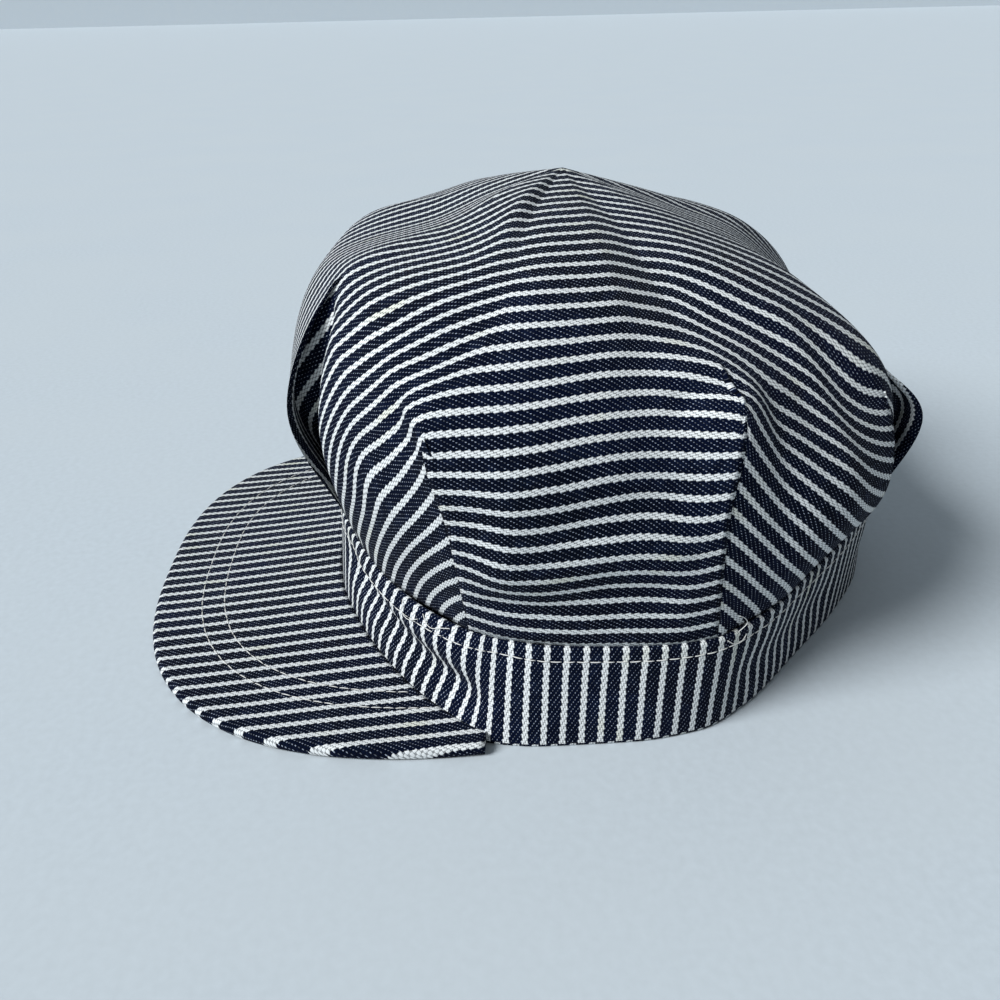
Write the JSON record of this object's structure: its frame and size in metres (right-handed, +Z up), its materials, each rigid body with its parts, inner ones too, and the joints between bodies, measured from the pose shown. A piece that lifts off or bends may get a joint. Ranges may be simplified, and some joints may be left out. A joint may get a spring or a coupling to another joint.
{
  "type": "conductor cap",
  "caption": "Striped cloth conductor cap with a full pleated crown, an upright band and a flat stiffened peak, resting on its rim.",
  "frame": {"origin": "on the surface the cap rests on, under the middle of the whole cap's bounding box", "axes": "+Z up, -Y the way the peak points, +X the wearer's left"},
  "size_m": [0.2086, 0.234, 0.125],
  "materials": {
    "crown_cloth": "indigo and white striped cotton twill",
    "band_cloth": "indigo and white striped cotton twill, stripes upright",
    "peak_cloth": "indigo and white striped cotton twill over a stiff board"
  },
  "bodies": {
    "root": {"crown": "crown_cloth", "band": "band_cloth", "peak": "peak_cloth"}
  },
  "joints": []
}
